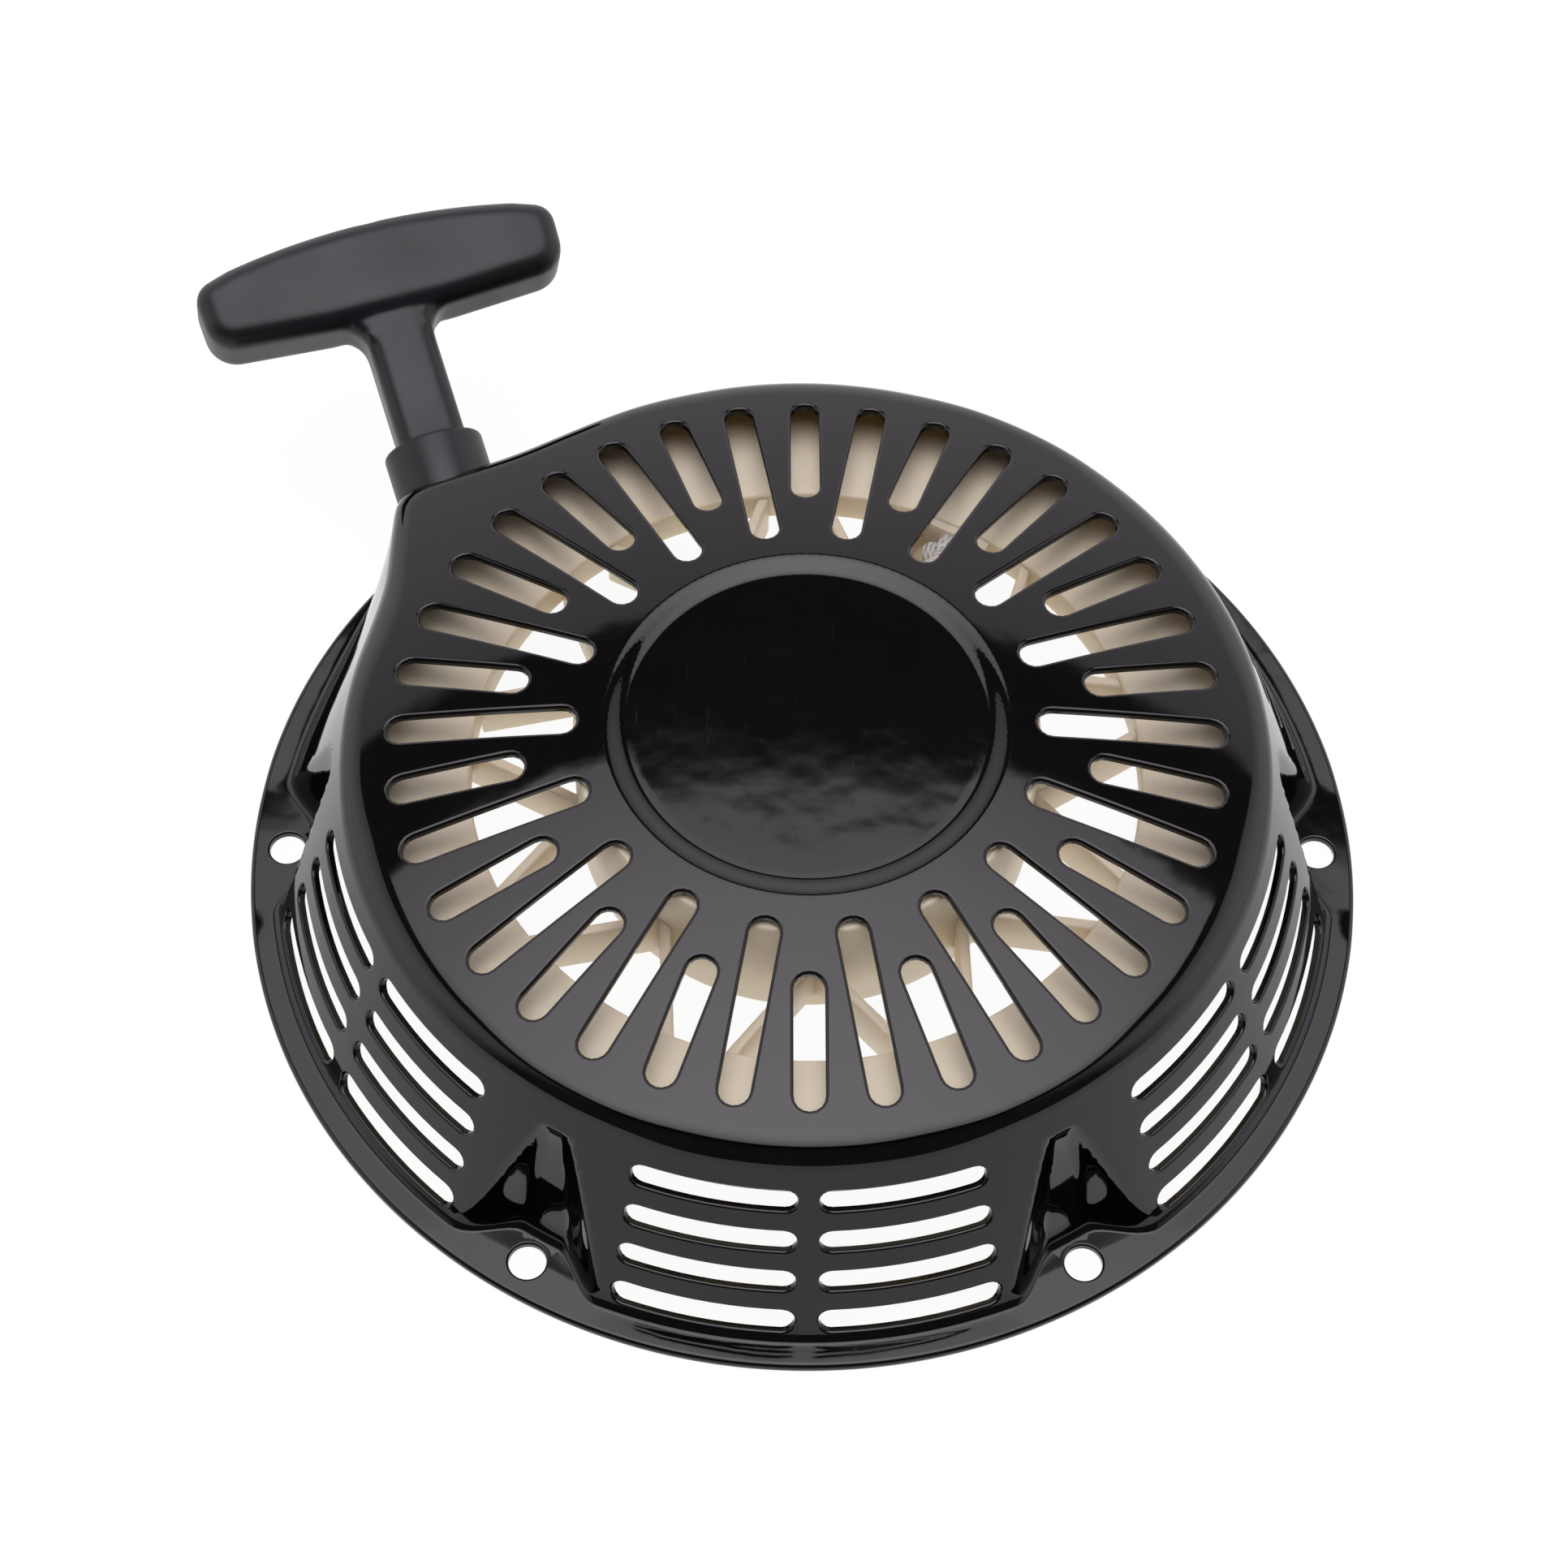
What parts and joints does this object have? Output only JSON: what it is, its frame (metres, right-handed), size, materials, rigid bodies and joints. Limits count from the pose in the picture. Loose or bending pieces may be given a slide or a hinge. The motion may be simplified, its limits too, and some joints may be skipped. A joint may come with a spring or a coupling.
{
  "type": "recoil starter",
  "caption": "Pull-rope recoil starter: slotted domed steel cover with a bolt flange, nylon rope reel, ratchet and a T-handle on a side outlet.",
  "frame": {"origin": "on the reel's axis, in the plane of the flange's lower face", "axes": "+Z along the reel's axis, out of the engine; +X through a bolt hole; the rope leaves towards -X and +Y"},
  "size_m": [0.2379, 0.2414, 0.0598],
  "materials": {
    "paint": "gloss black paint on pressed steel",
    "black_plastic": "satin moulded plastic",
    "nylon": "ivory nylon, satin",
    "rope": "braided polyester rope",
    "steel": "zinc plated steel",
    "spring_steel": "blued spring steel, oiled"
  },
  "bodies": {
    "cover": {"housing": "paint", "rope_guide": "black_plastic", "rope_lead": "rope", "centre_post": "steel", "thrust_washer": "steel", "centre_screw": "steel", "friction_spring": "spring_steel"},
    "handle": {"handle_grip": "black_plastic", "rope_stopper": "steel", "handle_knot": "rope"},
    "reel": {"reel": "nylon", "rope_coil": "rope", "reel_knot": "rope", "recoil_spring": "spring_steel", "pawl_pin_1": "steel", "pawl_pin_2": "steel", "pawl_spring_1": "spring_steel", "pawl_spring_2": "spring_steel"},
    "ratchet_plate": {"ratchet_plate": "steel"},
    "pawl_1": {"pawl_1": "steel"},
    "pawl_2": {"pawl_2": "steel"}
  },
  "joints": [
    {"name": "reel_spin", "type": "hinge", "parent": "cover", "child": "reel", "pos_m": [0, 0, 0.0314], "axis": [0, 0, -1], "range_deg": [0, 1170], "stiffness_Nm_per_rad": 0.05, "springref_deg": -229.18, "deforming": ["recoil_spring"]},
    {"name": "handle_pull", "type": "slide", "parent": "cover", "child": "handle", "axis": [-0.309, 0.8874, 0.342], "range_m": [0, 1.61], "deforming": ["rope_lead"]},
    {"name": "plate_lag", "type": "hinge", "parent": "reel", "child": "ratchet_plate", "pos_m": [0, 0, 0.00975], "axis": [0, 0, 1], "range_deg": [0, 30], "stiffness_Nm_per_rad": 0.02, "springref_deg": -22.92},
    {"name": "pawl_1_swing", "type": "hinge", "parent": "reel", "child": "pawl_1", "pos_m": [0.021, 0, 0.0138], "axis": [0, 0, 1], "range_deg": [0, 25]},
    {"name": "pawl_2_swing", "type": "hinge", "parent": "reel", "child": "pawl_2", "pos_m": [-0.021, 0, 0.0138], "axis": [0, 0, 1], "range_deg": [0, 25]}
  ],
  "couplings": [
    {"joint": "handle_pull", "follows": "reel_spin", "m_per_rad": 0.0787},
    {"joint": "pawl_1_swing", "follows": "plate_lag", "ratio": 0.8333},
    {"joint": "pawl_2_swing", "follows": "plate_lag", "ratio": 0.8333}
  ]
}
